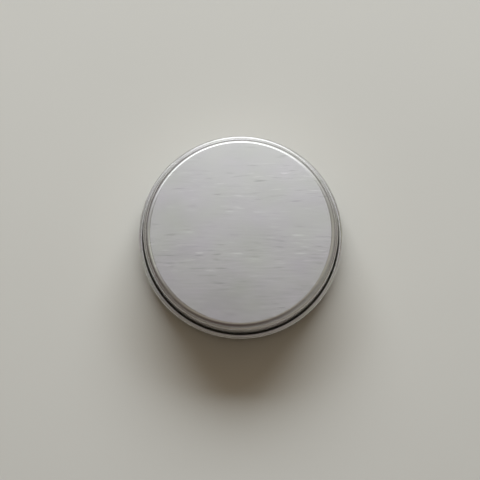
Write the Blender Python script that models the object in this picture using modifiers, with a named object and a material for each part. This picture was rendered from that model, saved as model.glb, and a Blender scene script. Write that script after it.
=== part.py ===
"""A round aluminium snus tin: a drawn base cup, a push-on lid and the foam liner inside the lid.

Run it with blender --background --python part.py, or from Blender's text editor.
Metres, +Z up. The origin is the centre of the ring that the tin stands on, and Z is the
axis of every piece. Each metal piece is one sheet, so it is drawn as the middle line of
that sheet in the (radius, height) plane, turned about Z and given the sheet's thickness.
"""

import math

import bmesh
import bpy
from mathutils import Vector

# Turned surfaces: faces in a full turn, and the angle and the length between the points of a bend
TURN_SEGMENTS = 60
BEND_STEP_DEGREES = 30.0
BEND_STEP_LENGTH = 0.0009

# Base cup: a stepped bottom, a plain wall, and a rolled shoulder round the gutter for the lid
BASE_SHEET = 0.00040
BASE_RADIUS = 0.0350
SHOULDER_HEIGHT = 0.0080
SHOULDER_WIDTH = 0.00133
SHOULDER_OUTER_BEND = 0.00077
SHOULDER_INNER_BEND = 0.00036
GUTTER_DEPTH = 0.0035
BOTTOM_CORNER_RADIUS = 0.0016
FOOT_RING_WIDTH = 0.0024
BOTTOM_RECESS_DEPTH = 0.0008
BOTTOM_STEP_WIDTH = 0.0009
BOTTOM_STEP_BEND = 0.0009
RIM_CURL_DIAMETER = 0.0016
RIM_CURL_TURN_DEGREES = 270.0

# Lid: a low raised panel whose edge breaks slightly and then rounds down to a narrow ledge,
# and a skirt that widens a little towards its hem
LID_SHEET = 0.00035
TIN_HEIGHT = 0.0220
PANEL_RISE = 0.00102
PANEL_EDGE_BEND = 0.0005
PANEL_EDGE_DEGREES = 16.5
PANEL_ROUND_BEND = 0.0033
PANEL_ROUND_DEGREES = 48.0
PANEL_ROOT_BEND = 0.00015
PANEL_MARGIN = 0.00236
LEDGE_FALL = 0.00009
LEDGE_BEND = 0.00036
SKIRT_FLARE = 0.00031
HEM_HEIGHT = 0.0010
HEM_SLIT = 0.0001

# Liner: a disc of white foam that lies in the lid and meets the neck's curled rim
LINER_THICKNESS = 0.0010
LINER_EDGE_BEND = 0.00015
LINER_EDGE_SEGMENTS = 2

# Clearances between the pieces
SHOULDER_CLEARANCE = 0.00045
LID_FOOT_CLEARANCE = 0.0004
NECK_CLEARANCE = 0.0003
LINER_CLEARANCE = 0.0003

# Points nearer to each other than this are one point
MERGE_LENGTH = 0.000001
SHARP_ANGLE_DEGREES = 40.0

# Sizes that follow from the ones above
LID_FOOT_RADIUS = BASE_RADIUS - SHOULDER_WIDTH - SHOULDER_CLEARANCE
LEDGE_RADIUS = LID_FOOT_RADIUS - SKIRT_FLARE
PANEL_FLAT_RADIUS = LEDGE_RADIUS - PANEL_MARGIN
HEM_THICKNESS = LID_SHEET + HEM_SLIT + LID_SHEET
NECK_RADIUS = LID_FOOT_RADIUS - HEM_THICKNESS - NECK_CLEARANCE
GUTTER_HEIGHT = SHOULDER_HEIGHT - GUTTER_DEPTH
LID_FOOT_HEIGHT = GUTTER_HEIGHT + LID_FOOT_CLEARANCE
LID_HEIGHT = TIN_HEIGHT - LID_FOOT_HEIGHT
LEDGE_HEIGHT = LID_HEIGHT - PANEL_RISE
LEDGE_EDGE_HEIGHT = LEDGE_HEIGHT - LEDGE_FALL
LINER_TOP = LEDGE_EDGE_HEIGHT - LID_SHEET - LINER_CLEARANCE
LINER_RADIUS = LEDGE_RADIUS - LID_SHEET - LINER_CLEARANCE
RIM_HEIGHT = LID_FOOT_HEIGHT + LINER_TOP - LINER_THICKNESS - LINER_CLEARANCE

# Finishes: linear colour, metallic, roughness
ALUMINIUM_COLOUR = (0.74, 0.74, 0.73, 1.0)
ALUMINIUM_ROUGHNESS = 0.30
FOAM_COLOUR = (0.86, 0.86, 0.84, 1.0)
FOAM_ROUGHNESS = 0.85


def clear_scene():
    """Removes every object of the open scene."""
    for old in list(bpy.data.objects):
        bpy.data.objects.remove(old)


def new_collection(name):
    """A collection of that name in the scene."""
    collection = bpy.data.collections.new(name)
    bpy.context.scene.collection.children.link(collection)
    return collection


def new_material(name, colour, metallic, roughness):
    """A Principled material of one colour."""
    material = bpy.data.materials.new(name)
    material.use_nodes = True
    shader = material.node_tree.nodes["Principled BSDF"]
    shader.inputs["Base Color"].default_value = colour
    shader.inputs["Metallic"].default_value = metallic
    shader.inputs["Roughness"].default_value = roughness
    material.diffuse_color = colour
    return material


def arc_points(centre, radius, start_degrees, turn_degrees):
    """Points of an arc in the (radius, height) plane, both ends included."""
    turn = abs(turn_degrees)
    length = radius * math.radians(turn)
    steps = max(1, round(turn / BEND_STEP_DEGREES), round(length / BEND_STEP_LENGTH))
    points = []
    for step in range(steps + 1):
        angle = math.radians(start_degrees + turn_degrees * step / steps)
        points.append(centre + radius * Vector((math.cos(angle), math.sin(angle))))
    return points


def bent_line(corners):
    """The line through corners (radius, height, bend radius), with an arc at each bend."""
    places = [Vector((across, up)) for across, up, _ in corners]
    points = [places[0]]
    for before, here, after, corner in zip(places, places[1:], places[2:], corners[1:]):
        back = before - here
        on = after - here
        bend = corner[2]
        turn = math.pi - back.angle(on)
        inward = (back.normalized() + on.normalized()).normalized()
        centre = here + inward * bend / math.cos(turn / 2)
        first = here + back.normalized() * bend * math.tan(turn / 2) - centre
        side = 1 if back.x * on.y - back.y * on.x < 0 else -1
        start = math.degrees(math.atan2(first.y, first.x))
        arc = arc_points(centre, bend, start, side * math.degrees(turn))
        points += [point for point in arc if (point - points[-1]).length > MERGE_LENGTH]
    return points + [places[-1]]


def turned_sheet(name, line, thickness, material, collection):
    """A sheet metal piece: the middle line of the sheet, turned about Z and thickened."""
    mesh = bpy.data.meshes.new(name)
    edges = [(index, index + 1) for index in range(len(line) - 1)]
    mesh.from_pydata([(point.x, 0.0, point.y) for point in line], edges, [])
    piece = bpy.data.objects.new(name, mesh)
    collection.objects.link(piece)
    mesh.materials.append(material)

    turn = piece.modifiers.new("turn", "SCREW")
    turn.axis = "Z"
    turn.steps = TURN_SEGMENTS
    turn.render_steps = TURN_SEGMENTS
    turn.use_merge_vertices = True
    turn.merge_threshold = MERGE_LENGTH
    turn.use_smooth_shade = True

    sheet = piece.modifiers.new("sheet", "SOLIDIFY")
    sheet.thickness = thickness
    sheet.offset = 0.0
    sheet.use_even_offset = True
    return piece


def base_bottom():
    """Corners of the base's bottom, from the axis out to the foot of the wall."""
    half = BASE_SHEET / 2
    ring_inside = BASE_RADIUS - BOTTOM_CORNER_RADIUS - FOOT_RING_WIDTH
    return [
        (0.0, BOTTOM_RECESS_DEPTH + half, 0.0),
        (ring_inside - BOTTOM_STEP_WIDTH, BOTTOM_RECESS_DEPTH + half, BOTTOM_STEP_BEND),
        (ring_inside, half, BOTTOM_STEP_BEND),
        (BASE_RADIUS - half, half, BOTTOM_CORNER_RADIUS - half),
    ]


def base_shoulder():
    """Corners of the rolled shoulder, and of the gutter between it and the neck."""
    half = BASE_SHEET / 2
    top = SHOULDER_HEIGHT - half
    gutter_outside = BASE_RADIUS - SHOULDER_WIDTH + half
    neck = NECK_RADIUS - half
    gutter_bend = (gutter_outside - neck) / 2
    return [
        (BASE_RADIUS - half, top, SHOULDER_OUTER_BEND - half),
        (gutter_outside, top, SHOULDER_INNER_BEND - half),
        (gutter_outside, GUTTER_HEIGHT - half, gutter_bend),
        (neck, GUTTER_HEIGHT - half, gutter_bend),
    ]


def rim_curl():
    """Points of the neck's curled rim, rolled inwards from the neck's outer side."""
    outer = RIM_CURL_DIAMETER / 2
    middle = outer - BASE_SHEET / 2
    centre = Vector((NECK_RADIUS - outer, RIM_HEIGHT - outer))
    return arc_points(centre, middle, 0.0, RIM_CURL_TURN_DEGREES)


def make_base_cup(material, collection):
    """The cup: its line runs from the axis along the bottom, up the wall and up the neck."""
    curl = rim_curl()
    start_of_curl = (curl[0].x, curl[0].y, 0.0)
    line = bent_line(base_bottom() + base_shoulder() + [start_of_curl])
    return turned_sheet("base_cup", line + curl[1:], BASE_SHEET, material, collection)


def lid_hem():
    """Points of the hem: the skirt's lower edge, folded inwards and up against it."""
    half = LID_SHEET / 2
    bend = half + HEM_SLIT / 2
    centre = Vector((LID_FOOT_RADIUS - half - bend, half + bend))
    fold = arc_points(centre, bend, 0.0, -180.0)
    return fold + [fold[-1] + Vector((0.0, HEM_HEIGHT))]


def panel_edge():
    """Corners of the panel's edge: a slight break, then a rounding that runs down to the ledge."""
    half = LID_SHEET / 2
    top = LID_HEIGHT - half
    foot = LEDGE_HEIGHT - half
    shallow = math.radians(PANEL_EDGE_DEGREES)
    steep = math.radians(PANEL_ROUND_DEGREES)
    edge_bend = PANEL_EDGE_BEND - half
    round_bend = PANEL_ROUND_BEND - half
    edge_length = edge_bend * math.tan(shallow / 2)
    round_length = round_bend * math.tan((steep - shallow) / 2)
    across = PANEL_FLAT_RADIUS + edge_length
    along = edge_length + round_length
    round_across = across + along * math.cos(shallow)
    round_height = top - along * math.sin(shallow)
    foot_across = round_across + (round_height - foot) / math.tan(steep)
    return [
        (across, top, edge_bend),
        (round_across, round_height, round_bend),
        (foot_across, foot, PANEL_ROOT_BEND + half),
    ]


def make_lid_shell(material, collection, carrier):
    """The lid, whose heights are measured from its own lower edge."""
    half = LID_SHEET / 2
    hem = lid_hem()
    centre = (0.0, LID_HEIGHT - half, 0.0)
    ledge_edge = (LEDGE_RADIUS - half, LEDGE_EDGE_HEIGHT - half, LEDGE_BEND - half)
    skirt_foot = (hem[0].x, hem[0].y, 0.0)
    line = bent_line([centre] + panel_edge() + [ledge_edge, skirt_foot]) + hem[1:]
    lid = turned_sheet("lid_shell", line, LID_SHEET, material, collection)
    lid.parent = carrier
    return lid


def make_lid_liner(material, collection, carrier):
    """The foam disc, from a cylinder whose edges are softened."""
    mesh = bpy.data.meshes.new("lid_liner")
    shape = bmesh.new()
    bmesh.ops.create_cone(
        shape,
        cap_ends=True,
        segments=TURN_SEGMENTS,
        radius1=LINER_RADIUS,
        radius2=LINER_RADIUS,
        depth=LINER_THICKNESS,
    )
    shape.to_mesh(mesh)
    shape.free()
    mesh.materials.append(material)
    mesh.shade_smooth()
    mesh.set_sharp_from_angle(angle=math.radians(SHARP_ANGLE_DEGREES))
    liner = bpy.data.objects.new("lid_liner", mesh)
    collection.objects.link(liner)
    liner.location.z = LINER_TOP - LINER_THICKNESS / 2
    liner.parent = carrier

    edge = liner.modifiers.new("edge", "BEVEL")
    edge.width = LINER_EDGE_BEND
    edge.segments = LINER_EDGE_SEGMENTS
    edge.limit_method = "ANGLE"
    edge.angle_limit = math.radians(SHARP_ANGLE_DEGREES)
    return liner


def make_lid_carrier(collection):
    """The empty on the lid's axis, at the height of the lid's lower edge, that carries the lid."""
    carrier = bpy.data.objects.new("lid_carrier", None)
    carrier.location.z = LID_FOOT_HEIGHT
    collection.objects.link(carrier)
    return carrier


def main():
    clear_scene()
    tin = new_collection("snus_tin")
    aluminium = new_material("aluminium", ALUMINIUM_COLOUR, 1.0, ALUMINIUM_ROUGHNESS)
    foam = new_material("liner_foam", FOAM_COLOUR, 0.0, FOAM_ROUGHNESS)
    make_base_cup(aluminium, tin)
    carrier = make_lid_carrier(tin)
    make_lid_shell(aluminium, tin, carrier)
    make_lid_liner(foam, tin, carrier)


main()
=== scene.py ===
"""The looks of the snus tin: brushed aluminium sheet, a foam liner, a pale tabletop, light from behind.

Each metal piece is one sheet, turned about Z from the same middle line as its CAD node, with finer bends.
"""

import math

import bpy
from mathutils import Matrix, Vector


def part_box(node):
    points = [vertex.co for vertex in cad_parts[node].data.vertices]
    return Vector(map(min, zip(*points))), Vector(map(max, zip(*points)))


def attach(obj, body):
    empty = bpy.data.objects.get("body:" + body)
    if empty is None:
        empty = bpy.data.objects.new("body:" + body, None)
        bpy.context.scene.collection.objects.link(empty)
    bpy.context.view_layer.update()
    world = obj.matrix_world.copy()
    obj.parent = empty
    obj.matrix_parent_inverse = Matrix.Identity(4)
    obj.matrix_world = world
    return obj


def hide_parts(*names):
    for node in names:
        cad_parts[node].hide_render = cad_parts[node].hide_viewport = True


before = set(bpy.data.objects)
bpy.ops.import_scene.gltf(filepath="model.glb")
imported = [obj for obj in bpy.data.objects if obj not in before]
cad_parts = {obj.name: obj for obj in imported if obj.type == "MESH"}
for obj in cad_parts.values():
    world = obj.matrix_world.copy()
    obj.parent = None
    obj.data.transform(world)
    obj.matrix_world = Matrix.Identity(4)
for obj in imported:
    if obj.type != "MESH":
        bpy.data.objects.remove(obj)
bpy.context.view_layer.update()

MM = 0.001
QUARTER_TURN_DEGREES = 90.0

# Turned surfaces: faces in a full turn, the angle between the points of a bend, the points that keep a
# bend crisp, and the rounding of a cut edge
TURN_SEGMENTS = 192
BEND_STEP_DEGREES = 7.5
WHOLE_STEP_SLACK = 1e-6
SHARP_EDGE_DEGREES = 50.0
SUPPORT_GAP = 0.04 * MM
MERGE_LENGTH = 0.001 * MM
CUT_EDGE_BEND = 0.06 * MM
CUT_EDGE_SHARE = 0.25

# Base cup, from model.glb, where a box gives the size
BASE_LOW, BASE_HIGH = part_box("base_cup")
BASE_SHEET = 0.40 * MM
BASE_RADIUS = BASE_HIGH.x
SHOULDER_HEIGHT = 8.0 * MM
SHOULDER_WIDTH = 1.33 * MM
SHOULDER_OUTER_BEND = 0.77 * MM
SHOULDER_INNER_BEND = 0.36 * MM
GUTTER_DEPTH = 3.5 * MM
BOTTOM_CORNER_RADIUS = 1.6 * MM
FOOT_RING_WIDTH = 2.4 * MM
BOTTOM_RECESS_DEPTH = 0.8 * MM
BOTTOM_STEP_WIDTH = 0.9 * MM
BOTTOM_STEP_BEND = 0.9 * MM
RIM_HEIGHT = BASE_HIGH.z
RIM_CURL_DIAMETER = 1.6 * MM
RIM_CURL_TURN_DEGREES = 270.0

# Lid, from model.glb, where a box gives the size
LID_LOW, LID_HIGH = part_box("lid_shell")
LID_SHEET = 0.35 * MM
PANEL_FLAT_RADIUS = 30.55 * MM
PANEL_RISE = 1.02 * MM
PANEL_EDGE_BEND = 0.5 * MM
PANEL_EDGE_DEGREES = 16.5
PANEL_ROUND_BEND = 3.3 * MM
PANEL_ROUND_DEGREES = 48.0
PANEL_ROOT_BEND = 0.15 * MM
LEDGE_RADIUS = 32.91 * MM
LEDGE_FALL = 0.09 * MM
LEDGE_BEND = 0.36 * MM
LID_FOOT_RADIUS = LID_HIGH.x
HEM_HEIGHT = 1.0 * MM
HEM_SLIT = 0.1 * MM
HEM_TURN_DEGREES = -180.0
HEM_THICKNESS = LID_SHEET + HEM_SLIT + LID_SHEET

# The base's neck stands inside the lid's hem
NECK_CLEARANCE = 0.3 * MM
NECK_RADIUS = LID_FOOT_RADIUS - HEM_THICKNESS - NECK_CLEARANCE

# Liner, from model.glb; the neck's rim has pressed a shallow ring into its underside
LINER_LOW, LINER_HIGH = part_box("lid_liner")
LINER_EDGE_BEND = 0.15 * MM
LINER_RING_DEPTH = 0.12 * MM
LINER_RING_STEPS = 12

# Brushed metal: each noise has its cycles for each metre along, across and through the brushed sheet, its
# detail, its roughness, and the place in the noise where it starts
STREAK_NOISE = ((125.0, 1500.0, 1.0), 3.0, 0.55, (0.0, 0.0, 0.0))
GRAIN_NOISE = ((450.0, 6500.0, 1.0), 2.0, 0.6, (3.1, 1.7, 0.0))
CLOUD_NOISE = ((55.0, 95.0, 1.0), 2.0, 0.5, (2.7, 5.6, 0.0))
TINT_NOISE = ((70.0, 90.0, 1.0), 1.0, 0.5, (1.3, 8.2, 0.0))
RUBBED_NOISE = ((50.0, 80.0, 1.0), 1.0, 0.5, (10.6, 2.2, 0.0))
DASH_NOISE = ((140.0, 1150.0, 1.0), 1.0, 0.5, (5.7, 4.4, 0.0))

# Brushed metal: its level of grey, and how far the streaks, grain, clouds and tint move it
METAL_LEVEL = 0.80
STREAK_SWING = 0.040
GRAIN_SWING = 0.020
CLOUD_SWING = 0.060
LILAC_SWING = 0.05
LILAC_SIDE_SHARE = 0.3
BRIGHT_DASH_OVER = 0.64
DARK_DASH_UNDER = 0.37
RUBBED_LEVEL = 0.8
RUBBED_SWING = 1.2
RUBBED_LEAST = 0.3

# Brushed metal: its roughness, its relief, and the radius under which a bend has its full polish
METAL_ROUGHNESS = 0.20
STREAK_ROUGHNESS_SWING = 0.045
CLOUD_ROUGHNESS_SWING = 0.03
BEND_POLISH = 0.05
POLISHED_BEND_RADIUS = 0.5 * MM
METAL_RELIEF = 0.0006 * MM
GRAIN_RELIEF_SHARE = 0.2

# The gutter is duller than the rest, and its colour is painted shade, darker and browner deeper in, that
# fades towards its mouth
DUST_AND_SHADE_FADE = 1.8 * MM
DUST_ROUGHNESS = 0.30
GUTTER_SHADE_TINT = (0.98, 0.95, 0.90)

# Foam: a near white with closed cells, and soft clouds in its level and roughness
FOAM_CLOUD_NOISE = ((250.0, 250.0, 250.0), 3.0)
FOAM_CELL_SCALE = 3500.0
FOAM_LEVEL = 0.80
FOAM_CLOUD_SWING = 0.05
FOAM_CELL_SWING = 0.04
FOAM_TINT = (1.0, 0.995, 0.97)
FOAM_ROUGHNESS = 0.82
FOAM_ROUGHNESS_SWING = 0.08
FOAM_RELIEF = 0.05 * MM

# Tabletop
TABLE_REACH = 3.0
TABLE_COLOUR = (0.60, 0.58, 0.53)
TABLE_CLOUD_NOISE = ((12.0, 12.0, 12.0), 3.0)
TABLE_CLOUD_SWING = 0.02
TABLE_ROUGHNESS = 0.8

# Camera: where the tin's axis falls in the picture, and the picture's scale at the shoulder's height
IMAGE_SIDE_PIXELS = 480
AXIS_PIXEL_X = 240.2
AXIS_PIXEL_Y = 236.25
PIXELS_PER_MM = 2.9147
CAMERA_TILT_DEGREES = 6.1
CAMERA_DISTANCE = 0.792
CAMERA_NEAR = 0.01
CAMERA_FAR = 20.0
SENSOR_MM = 36.0

# Light on the table: a wide low window behind the tin, and a weak warm reflector over it
LAMP_DISTANCE = 1.5
WINDOW_AZIMUTH_DEGREES = 88.5
WINDOW_ELEVATION_DEGREES = 33.0
WINDOW_SIZE = (1.6, 0.7)
WINDOW_COLOUR = (0.929, 1.0, 1.070)
WINDOW_WATTS = 33.5
OVERHEAD_AZIMUTH_DEGREES = 87.5
OVERHEAD_ELEVATION_DEGREES = 80.0
OVERHEAD_SIZE = (2.0, 2.0)
OVERHEAD_COLOUR = (1.202, 1.0, 0.767)
OVERHEAD_WATTS = 6.1

# The room that the metal mirrors: a dim warm level, and soft patches of light. A patch has its azimuth and
# elevation in degrees, its half width and half height at a distance of 1, its strength and its colour.
DAYLIGHT = (0.975, 1.0, 1.01)
SKY = (0.98, 1.0, 1.05)
PALE_WALL = (0.97, 1.0, 0.90)
WARM_WALL = (1.06, 1.0, 0.81)
ROOM_LEVEL = (0.058, 0.040, 0.033)
ROOM_PATCHES = (
    # the window, and the ceiling that it lights
    (100.0, 46.0, 0.65, 0.20, 2.1, DAYLIGHT),
    (83.0, 66.5, 0.24, 0.23, 1.4, DAYLIGHT),
    (90.0, 76.0, 0.12, 0.10, 0.87, DAYLIGHT),
    # the bright sill beyond the table
    (94.0, 0.0, 0.55, 0.20, 1.3, SKY),
    # the walls on the right, on the left and in front, and the ceiling in front
    (28.0, 34.0, 1.60, 0.45, 0.26, PALE_WALL),
    (185.0, 47.0, 0.25, 0.30, 0.55, PALE_WALL),
    (270.0, 8.0, 1.10, 0.16, 0.06, PALE_WALL),
    (293.0, 65.5, 0.80, 0.20, 0.34, WARM_WALL),
)


def arc_points(centre, radius, start_degrees, turn_degrees):
    """Points of an arc in the (radius, height) plane, both ends included."""
    steps = max(1, math.ceil(abs(turn_degrees) / BEND_STEP_DEGREES - WHOLE_STEP_SLACK))
    points = []
    for index in range(steps + 1):
        angle = math.radians(start_degrees + turn_degrees * index / steps)
        points.append(centre + radius * Vector((math.cos(angle), math.sin(angle))))
    return points


def carried_on(points, more):
    """The line with more points; a long straight between them gets a point close to each of its ends."""
    along = more[0] - points[-1]
    step = along.normalized() * SUPPORT_GAP
    if along.length > 4 * SUPPORT_GAP:
        points = points + [points[-1] + step, more[0] - step]
    if along.length < MERGE_LENGTH:
        more = more[1:]
    return points + more


def bent_line(corners):
    """The line through corners (radius, height, bend radius), with an arc at each bend."""
    places = [Vector((across, up)) for across, up, _ in corners]
    points = [places[0]]
    for before, here, after, corner in zip(places, places[1:], places[2:], corners[1:]):
        back = before - here
        on = after - here
        bend = corner[2]
        turn = math.pi - back.angle(on)
        inward = (back.normalized() + on.normalized()).normalized()
        centre = here + inward * bend / math.cos(turn / 2)
        first = here + back.normalized() * bend * math.tan(turn / 2) - centre
        side = 1 if back.x * on.y - back.y * on.x < 0 else -1
        start = math.degrees(math.atan2(first.y, first.x))
        points = carried_on(points, arc_points(centre, bend, start, side * math.degrees(turn)))
    return carried_on(points, [places[-1]])


def offset_line(points, distance):
    """The line moved sideways, to the left of its direction, by that distance."""
    moved = []
    last = len(points) - 1
    for index, here in enumerate(points):
        before = (here - points[index - 1]).normalized() if index else None
        after = (points[index + 1] - here).normalized() if index < last else None
        before = before or after
        after = after or before
        along = (before + after).normalized()
        share = along.dot(after)
        moved.append(here + Vector((-along.y, along.x)) * distance / share)
    return moved


def sheet_outline(middle, thickness):
    """The closed outline of a sheet round its middle line; the line starts on the axis."""
    half = thickness / 2
    left = offset_line(middle, half)
    right = offset_line(middle, -half)
    left[0].x = 0.0
    right[0].x = 0.0
    tip = (middle[-1] - middle[-2]).normalized() * CUT_EDGE_BEND
    inset = (left[-1] - right[-1]) * CUT_EDGE_SHARE
    return left + [left[-1] - inset + tip, right[-1] + inset + tip] + right[::-1]


def blank_radii(outline, count_on_first_side):
    """For each point of the outline, its distance from the axis on the flat blank before drawing."""
    lengths = [outline[0].x]
    for before, here in zip(outline, outline[1:]):
        lengths.append(lengths[-1] + (here - before).length)
    far = lengths[count_on_first_side]
    return [length if length <= far else max(0.0, 2 * far - length) for length in lengths]


def curved_shares(outline):
    """For each point, how sharply the outline bends outwards there, from 0 to 1."""
    shares = [0.0]
    for last, here, following in zip(outline, outline[1:], outline[2:]):
        before = here - last
        after = following - here
        turn = before.x * after.y - before.y * after.x
        reach = (before.length + after.length) / 2
        angle = turn / max(before.length * after.length, MERGE_LENGTH ** 2)
        shares.append(min(1.0, max(0.0, -angle / reach * POLISHED_BEND_RADIUS)))
    return shares + [0.0]


def turned_faces(ring):
    """Faces of a turned body that has this many points between its poles, which come after the rest."""
    start_pole = TURN_SEGMENTS * ring
    end_pole = start_pole + 1
    faces = []
    for turn in range(TURN_SEGMENTS):
        here = turn * ring
        onward = (turn + 1) % TURN_SEGMENTS * ring
        faces.append((start_pole, here, onward))
        for index in range(ring - 1):
            faces.append((here + index, here + index + 1, onward + index + 1, onward + index))
        faces.append((here + ring - 1, end_pole, onward + ring - 1))
    return faces


def turned_piece(name, outline, blank, material):
    """A closed body turned about Z from its outline, which starts and ends on the axis."""
    bends = curved_shares(outline)
    verts = []
    places = []
    shares = []
    for turn in range(TURN_SEGMENTS):
        angle = 2 * math.pi * turn / TURN_SEGMENTS
        across = Vector((math.cos(angle), math.sin(angle), 0.0))
        for point, blank_radius, share in zip(outline[1:-1], blank[1:-1], bends[1:-1]):
            verts.append(across * point.x + Vector((0.0, 0.0, point.y)))
            places.append(across * blank_radius)
            shares.append(share)
    for pole in (outline[0], outline[-1]):
        verts.append(Vector((0.0, 0.0, pole.y)))
        places.append(Vector())
        shares.append(0.0)

    mesh = bpy.data.meshes.new(name)
    mesh.from_pydata(verts, [], turned_faces(len(outline) - 2))
    mesh.materials.append(material)
    blank_place = mesh.attributes.new("blank_place", "FLOAT_VECTOR", "POINT")
    blank_place.data.foreach_set("vector", [value for place in places for value in place])
    bend_share = mesh.attributes.new("bend_share", "FLOAT", "POINT")
    bend_share.data.foreach_set("value", shares)
    mesh.shade_smooth()
    mesh.set_sharp_from_angle(angle=math.radians(SHARP_EDGE_DEGREES))
    piece = bpy.data.objects.new(name, mesh)
    bpy.context.scene.collection.objects.link(piece)
    return piece


def base_line():
    """Middle line of the base's sheet, from the axis over the bottom, round the gutter and into the rim."""
    half = BASE_SHEET / 2
    ring_inside = BASE_RADIUS - BOTTOM_CORNER_RADIUS - FOOT_RING_WIDTH
    top = SHOULDER_HEIGHT - half
    gutter_outside = BASE_RADIUS - SHOULDER_WIDTH + half
    gutter_low = SHOULDER_HEIGHT - GUTTER_DEPTH - half
    neck = NECK_RADIUS - half
    gutter_bend = (gutter_outside - neck) / 2
    outer = RIM_CURL_DIAMETER / 2
    curl_centre = Vector((NECK_RADIUS - outer, RIM_HEIGHT - outer))
    curl = arc_points(curl_centre, outer - half, 0.0, RIM_CURL_TURN_DEGREES)
    corners = [
        (0.0, BOTTOM_RECESS_DEPTH + half, 0.0),
        (ring_inside - BOTTOM_STEP_WIDTH, BOTTOM_RECESS_DEPTH + half, BOTTOM_STEP_BEND),
        (ring_inside, half, BOTTOM_STEP_BEND),
        (BASE_RADIUS - half, half, BOTTOM_CORNER_RADIUS - half),
        (BASE_RADIUS - half, top, SHOULDER_OUTER_BEND - half),
        (gutter_outside, top, SHOULDER_INNER_BEND - half),
        (gutter_outside, gutter_low, gutter_bend),
        (neck, gutter_low, gutter_bend),
        (curl[0].x, curl[0].y, 0.0),
    ]
    return bent_line(corners) + curl[1:]


def panel_edge():
    """Corners of the panel's edge: a slight break, then a rounding that runs down to the ledge."""
    half = LID_SHEET / 2
    top = LID_HIGH.z - half
    foot = top - PANEL_RISE
    shallow = math.radians(PANEL_EDGE_DEGREES)
    steep = math.radians(PANEL_ROUND_DEGREES)
    edge_bend = PANEL_EDGE_BEND - half
    round_bend = PANEL_ROUND_BEND - half
    edge_length = edge_bend * math.tan(shallow / 2)
    round_length = round_bend * math.tan((steep - shallow) / 2)
    across = PANEL_FLAT_RADIUS + edge_length
    along = edge_length + round_length
    round_across = across + along * math.cos(shallow)
    round_height = top - along * math.sin(shallow)
    foot_across = round_across + (round_height - foot) / math.tan(steep)
    return [
        (across, top, edge_bend),
        (round_across, round_height, round_bend),
        (foot_across, foot, PANEL_ROOT_BEND + half),
    ]


def lid_line():
    """Middle line of the lid's sheet, from the axis over the panel, down the skirt and into the hem."""
    half = LID_SHEET / 2
    ledge_edge = LID_HIGH.z - PANEL_RISE - LEDGE_FALL - half
    fold_bend = half + HEM_SLIT / 2
    fold_centre = Vector((LID_FOOT_RADIUS - half - fold_bend, LID_LOW.z + half + fold_bend))
    fold = arc_points(fold_centre, fold_bend, 0.0, HEM_TURN_DEGREES)
    corners = [(0.0, LID_HIGH.z - half, 0.0)] + panel_edge() + [
        (LEDGE_RADIUS - half, ledge_edge, LEDGE_BEND - half),
        (fold[0].x, fold[0].y, 0.0),
    ]
    hem_edge = fold[-1] + Vector((0.0, HEM_HEIGHT))
    return carried_on(bent_line(corners) + fold[1:], [hem_edge])


def liner_outline():
    """Outline of the foam disc, with the shallow ring that the rim has pressed into its underside."""
    edge = LINER_HIGH.x
    top = LINER_HIGH.z
    low = LINER_LOW.z
    ring_half = RIM_CURL_DIAMETER / 2
    ring_middle = NECK_RADIUS - ring_half
    corners = [
        (0.0, top, 0.0),
        (edge, top, LINER_EDGE_BEND),
        (edge, low, LINER_EDGE_BEND),
        (edge - LINER_EDGE_BEND * 2, low, 0.0),
    ]
    points = bent_line(corners)
    for index in range(LINER_RING_STEPS + 1):
        share = index / LINER_RING_STEPS
        across = ring_middle + ring_half * (1 - 2 * share)
        if across > points[-1].x - MERGE_LENGTH:
            continue
        press = math.sin(math.pi * share) * LINER_RING_DEPTH
        points.append(Vector((across, low + press)))
    return carried_on(points, [Vector((0.0, low))])


def new_nodes(name):
    """A new material with its node tree and its Principled shader."""
    material = bpy.data.materials.new(name)
    material.use_nodes = True
    tree = material.node_tree
    return material, tree, tree.nodes["Principled BSDF"]


def attribute(tree, name, output):
    """An output of the mesh attribute of that name."""
    node = tree.nodes.new("ShaderNodeAttribute")
    node.attribute_name = name
    return node.outputs[output]


def scaled_noise(tree, vector, scale, detail, roughness=0.5, start=(0.0, 0.0, 0.0)):
    """Noise over a vector that is first stretched; scale is in cycles for each metre."""
    mapping = tree.nodes.new("ShaderNodeMapping")
    mapping.inputs["Scale"].default_value = scale
    mapping.inputs["Location"].default_value = start
    tree.links.new(vector, mapping.inputs["Vector"])
    noise = tree.nodes.new("ShaderNodeTexNoise")
    noise.inputs["Scale"].default_value = 1.0
    noise.inputs["Detail"].default_value = detail
    noise.inputs["Roughness"].default_value = roughness
    tree.links.new(mapping.outputs["Vector"], noise.inputs["Vector"])
    return noise.outputs["Fac"]


def math_node(tree, operation, first, second=0.0):
    """One Math node; its inputs are sockets or numbers."""
    node = tree.nodes.new("ShaderNodeMath")
    node.operation = operation
    for socket, value in zip(node.inputs, (first, second)):
        if isinstance(value, (int, float)):
            socket.default_value = value
        else:
            tree.links.new(value, socket)
    return node.outputs["Value"]


def swing(tree, value, amount):
    """A noise value, which lies round 0.5, as a swing of that amount to either side of zero."""
    centred = math_node(tree, "SUBTRACT", value, 0.5)
    return math_node(tree, "MULTIPLY", centred, 2 * amount)


def colour_of(tree, channels):
    """A colour from its red, green and blue sockets."""
    colour = tree.nodes.new("ShaderNodeCombineColor")
    for name, channel in zip(("Red", "Green", "Blue"), channels):
        tree.links.new(channel, colour.inputs[name])
    return colour.outputs["Color"]


def tinted(tree, level, tint):
    """A colour whose channels are those of the tint, times the level."""
    return colour_of(tree, [math_node(tree, "MULTIPLY", level, channel) for channel in tint])


def add_relief(tree, shader, height, distance):
    """Fine relief in the surface: a height of 1 is that distance."""
    bump = tree.nodes.new("ShaderNodeBump")
    bump.inputs["Strength"].default_value = 1.0
    bump.inputs["Distance"].default_value = distance
    tree.links.new(height, bump.inputs["Height"])
    tree.links.new(bump.outputs["Normal"], shader.inputs["Normal"])


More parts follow.
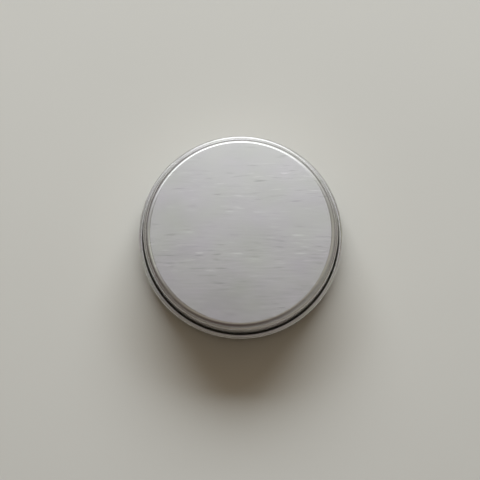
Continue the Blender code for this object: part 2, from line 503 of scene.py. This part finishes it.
def within(tree, value, low, high):
    """1 where the value lies between those limits, and 0 elsewhere."""
    above = math_node(tree, "GREATER_THAN", value, low)
    below = math_node(tree, "LESS_THAN", value, high)
    return math_node(tree, "MULTIPLY", above, below)


def gutter_share(tree):
    """How deep a point lies in the gutter round the lid's skirt, from 0 to 1, with the tin closed; it sets
    the gutter's dullness and its painted shade.
    """
    place = tree.nodes.new("ShaderNodeTexCoord").outputs["Object"]
    parts = tree.nodes.new("ShaderNodeSeparateXYZ")
    tree.links.new(place, parts.inputs["Vector"])
    across = math_node(tree, "MULTIPLY", parts.outputs["X"], parts.outputs["X"])
    along = math_node(tree, "MULTIPLY", parts.outputs["Y"], parts.outputs["Y"])
    radius = math_node(tree, "SQRT", math_node(tree, "ADD", across, along))
    half = BASE_SHEET / 2
    between = within(tree, radius, NECK_RADIUS - half, BASE_RADIUS - SHOULDER_WIDTH + half)
    floor = SHOULDER_HEIGHT - GUTTER_DEPTH - BASE_SHEET
    above_floor = math_node(tree, "GREATER_THAN", parts.outputs["Z"], floor)
    depth = math_node(tree, "SUBTRACT", SHOULDER_HEIGHT, parts.outputs["Z"])
    depth = math_node(tree, "DIVIDE", depth, DUST_AND_SHADE_FADE)
    depth = math_node(tree, "MAXIMUM", math_node(tree, "MINIMUM", depth, 1.0), 0.0)
    return math_node(tree, "MULTIPLY", depth, math_node(tree, "MULTIPLY", between, above_floor))


def brushed_lines(tree, place, streaks, grain):
    """The brushing's light and dark lines: streaks, grain and sparse dashes, fainter where it is rubbed."""
    rubbed = scaled_noise(tree, place, *RUBBED_NOISE)
    glints = scaled_noise(tree, place, *DASH_NOISE)
    bright = math_node(tree, "MAXIMUM", math_node(tree, "SUBTRACT", glints, BRIGHT_DASH_OVER), 0.0)
    dark = math_node(tree, "MAXIMUM", math_node(tree, "SUBTRACT", DARK_DASH_UNDER, glints), 0.0)
    dashes = math_node(tree, "SUBTRACT", bright, dark)
    strength = math_node(tree, "ADD", swing(tree, rubbed, RUBBED_SWING), RUBBED_LEVEL)
    strength = math_node(tree, "MAXIMUM", strength, RUBBED_LEAST)
    lines = math_node(tree, "ADD", swing(tree, streaks, STREAK_SWING), swing(tree, grain, GRAIN_SWING))
    lines = math_node(tree, "ADD", lines, dashes)
    return math_node(tree, "MULTIPLY", lines, strength)


def brushed_aluminium():
    """Aluminium sheet brushed along X before it was drawn, with worn bends, a duller gutter and painted
    brown shade in the gutter.
    """
    material, tree, shader = new_nodes("brushed_aluminium")
    place = attribute(tree, "blank_place", "Vector")
    worn = attribute(tree, "bend_share", "Fac")
    # how deep in the gutter a point lies, for its dullness and for its painted shade
    dust_and_shade = gutter_share(tree)
    streaks = scaled_noise(tree, place, *STREAK_NOISE)
    grain = scaled_noise(tree, place, *GRAIN_NOISE)
    clouds = scaled_noise(tree, place, *CLOUD_NOISE)
    tint = scaled_noise(tree, place, *TINT_NOISE)

    level = math_node(tree, "ADD", brushed_lines(tree, place, streaks, grain), METAL_LEVEL)
    level = math_node(tree, "ADD", level, swing(tree, clouds, CLOUD_SWING))
    lilac = swing(tree, tint, LILAC_SWING)
    side = math_node(tree, "MULTIPLY", lilac, LILAC_SIDE_SHARE)
    red = math_node(tree, "ADD", level, side)
    green = math_node(tree, "SUBTRACT", level, side)
    blue = math_node(tree, "ADD", level, lilac)
    # painted shade: the gutter's colour gets darker and browner the deeper it lies
    channels = []
    for clean, shade_tint_channel in zip((red, green, blue), GUTTER_SHADE_TINT):
        loss = math_node(tree, "MULTIPLY", dust_and_shade, 1.0 - shade_tint_channel)
        kept = math_node(tree, "SUBTRACT", 1.0, loss)
        channels.append(math_node(tree, "MULTIPLY", clean, kept))
    tree.links.new(colour_of(tree, channels), shader.inputs["Base Color"])

    rough = math_node(tree, "ADD", swing(tree, streaks, STREAK_ROUGHNESS_SWING), METAL_ROUGHNESS)
    rough = math_node(tree, "ADD", rough, swing(tree, clouds, CLOUD_ROUGHNESS_SWING))
    rough = math_node(tree, "SUBTRACT", rough, math_node(tree, "MULTIPLY", worn, BEND_POLISH))
    rough = math_node(tree, "ADD", rough, math_node(tree, "MULTIPLY", dust_and_shade, DUST_ROUGHNESS))
    tree.links.new(rough, shader.inputs["Roughness"])

    height = math_node(tree, "ADD", streaks, math_node(tree, "MULTIPLY", grain, GRAIN_RELIEF_SHARE))
    add_relief(tree, shader, height, METAL_RELIEF)
    shader.inputs["Metallic"].default_value = 1.0
    return material


def foam():
    """White closed-cell foam: fine cells and a slightly uneven white."""
    material, tree, shader = new_nodes("liner_foam")
    place = tree.nodes.new("ShaderNodeTexCoord").outputs["Object"]
    voronoi = tree.nodes.new("ShaderNodeTexVoronoi")
    voronoi.inputs["Scale"].default_value = FOAM_CELL_SCALE
    tree.links.new(place, voronoi.inputs["Vector"])
    cells = voronoi.outputs["Distance"]
    clouds = scaled_noise(tree, place, *FOAM_CLOUD_NOISE)
    level = math_node(tree, "ADD", swing(tree, clouds, FOAM_CLOUD_SWING), FOAM_LEVEL)
    level = math_node(tree, "ADD", level, swing(tree, cells, FOAM_CELL_SWING))
    tree.links.new(tinted(tree, level, FOAM_TINT), shader.inputs["Base Color"])
    rough = math_node(tree, "ADD", swing(tree, clouds, FOAM_ROUGHNESS_SWING), FOAM_ROUGHNESS)
    tree.links.new(rough, shader.inputs["Roughness"])
    add_relief(tree, shader, cells, FOAM_RELIEF)
    return material


def tabletop():
    """A pale warm grey matt surface with a very faint unevenness."""
    material, tree, shader = new_nodes("tabletop")
    place = tree.nodes.new("ShaderNodeTexCoord").outputs["Object"]
    clouds = scaled_noise(tree, place, *TABLE_CLOUD_NOISE)
    level = math_node(tree, "ADD", swing(tree, clouds, TABLE_CLOUD_SWING), 1.0)
    tree.links.new(tinted(tree, level, TABLE_COLOUR), shader.inputs["Base Color"])
    shader.inputs["Roughness"].default_value = TABLE_ROUGHNESS
    shader.inputs["Specular IOR Level"].default_value = 0.0
    return material


def make_tin():
    """The base's sheet, the lid's sheet and the foam disc, each in place of its CAD node."""
    aluminium = brushed_aluminium()
    for name, line, sheet, node, body in (
        ("base_sheet", base_line(), BASE_SHEET, "base_cup", "base"),
        ("lid_sheet", lid_line(), LID_SHEET, "lid_shell", "lid"),
    ):
        outline = sheet_outline(line, sheet)
        piece = turned_piece(name, outline, blank_radii(outline, len(line)), aluminium)
        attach(piece, body)
        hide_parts(node)
    outline = liner_outline()
    liner = turned_piece("foam_disc", outline, [point.x for point in outline], foam())
    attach(liner, "lid")
    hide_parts("lid_liner")


def make_floor():
    """The tabletop that the tin stands on."""
    mesh = bpy.data.meshes.new("table_plane")
    corners = [(x * TABLE_REACH, y * TABLE_REACH, 0.0) for x, y in ((-1, -1), (1, -1), (1, 1), (-1, 1))]
    mesh.from_pydata(corners, [], [(0, 1, 2, 3)])
    mesh.materials.append(tabletop())
    plane = bpy.data.objects.new("table_plane", mesh)
    bpy.context.scene.collection.objects.link(plane)


def make_camera():
    """The camera over the tin, tilted slightly towards its front."""
    data = bpy.data.cameras.new("camera")
    camera = bpy.data.objects.new("camera", data)
    bpy.context.scene.collection.objects.link(camera)
    bpy.context.scene.camera = camera
    tilt = math.radians(CAMERA_TILT_DEGREES)
    back = Vector((0.0, -math.sin(tilt), math.cos(tilt)))
    camera.location = Vector((0.0, 0.0, SHOULDER_HEIGHT)) + back * CAMERA_DISTANCE
    camera.rotation_euler = back.to_track_quat("Z", "Y").to_euler()
    width = IMAGE_SIDE_PIXELS / PIXELS_PER_MM * MM
    data.sensor_width = SENSOR_MM
    data.lens = SENSOR_MM * CAMERA_DISTANCE / width
    data.clip_start = CAMERA_NEAR
    data.clip_end = CAMERA_FAR
    middle = (IMAGE_SIDE_PIXELS - 1) / 2
    data.shift_x = (middle - AXIS_PIXEL_X) / IMAGE_SIDE_PIXELS
    data.shift_y = (AXIS_PIXEL_Y - middle) / IMAGE_SIDE_PIXELS


def towards(azimuth_degrees, elevation_degrees):
    """The unit vector towards that azimuth, from +X to +Y, and elevation."""
    azimuth = math.radians(azimuth_degrees)
    elevation = math.radians(elevation_degrees)
    level = math.cos(elevation)
    return Vector((level * math.cos(azimuth), level * math.sin(azimuth), math.sin(elevation)))


def area_lamp(name, direction, size, colour, watts):
    """A rectangular lamp that faces the tin and lights the matt surfaces."""
    data = bpy.data.lights.new(name, "AREA")
    data.shape = "RECTANGLE"
    data.size, data.size_y = size
    data.color = colour
    data.energy = watts
    lamp = bpy.data.objects.new(name, data)
    lamp.location = direction * LAMP_DISTANCE
    lamp.rotation_euler = direction.to_track_quat("Z", "Y").to_euler()
    lamp.visible_glossy = False
    bpy.context.scene.collection.objects.link(lamp)


def room_patch(tree, direction, azimuth, elevation, wide, tall):
    """How bright the room is in each direction, for one soft patch of light."""
    centre = towards(azimuth, elevation)
    across = towards(azimuth + QUARTER_TURN_DEGREES, 0.0)
    patch_axes = Matrix((across, centre.cross(across), centre)).transposed()
    mapping = tree.nodes.new("ShaderNodeMapping")
    mapping.vector_type = "TEXTURE"
    mapping.inputs["Location"].default_value = centre
    mapping.inputs["Rotation"].default_value = patch_axes.to_euler()
    mapping.inputs["Scale"].default_value = (wide, tall, max(wide, tall))
    tree.links.new(direction, mapping.inputs["Vector"])
    square = tree.nodes.new("ShaderNodeVectorMath")
    square.operation = "DOT_PRODUCT"
    tree.links.new(mapping.outputs["Vector"], square.inputs[0])
    tree.links.new(mapping.outputs["Vector"], square.inputs[1])
    fall = math_node(tree, "MULTIPLY", square.outputs["Value"], -1.0)
    return math_node(tree, "EXPONENT", fall)


def make_room():
    """The world: a dim room with soft patches of light, which only shiny surfaces and the camera see."""
    world = bpy.data.worlds.new("room")
    bpy.context.scene.world = world
    world.use_nodes = True
    world.cycles_visibility.diffuse = False
    tree = world.node_tree
    direction = tree.nodes.new("ShaderNodeTexCoord").outputs["Generated"]
    level = tree.nodes.new("ShaderNodeCombineXYZ")
    for axis, channel in zip("XYZ", ROOM_LEVEL):
        level.inputs[axis].default_value = channel
    total = level.outputs["Vector"]
    for azimuth, elevation, wide, tall, strength, colour in ROOM_PATCHES:
        share = room_patch(tree, direction, azimuth, elevation, wide, tall)
        light = tree.nodes.new("ShaderNodeVectorMath")
        light.operation = "SCALE"
        light.inputs[0].default_value = [channel * strength for channel in colour]
        tree.links.new(share, light.inputs["Scale"])
        both = tree.nodes.new("ShaderNodeVectorMath")
        both.operation = "ADD"
        tree.links.new(total, both.inputs[0])
        tree.links.new(light.outputs["Vector"], both.inputs[1])
        total = both.outputs["Vector"]
    tree.links.new(total, tree.nodes["Background"].inputs["Color"])


def make_light():
    """The two lamps for the matt surfaces, and the room that the metal mirrors."""
    window = towards(WINDOW_AZIMUTH_DEGREES, WINDOW_ELEVATION_DEGREES)
    area_lamp("window", window, WINDOW_SIZE, WINDOW_COLOUR, WINDOW_WATTS)
    overhead = towards(OVERHEAD_AZIMUTH_DEGREES, OVERHEAD_ELEVATION_DEGREES)
    area_lamp("overhead", overhead, OVERHEAD_SIZE, OVERHEAD_COLOUR, OVERHEAD_WATTS)
    make_room()


make_tin()
make_floor()
make_camera()
make_light()
bpy.context.scene.view_settings.view_transform = "Standard"
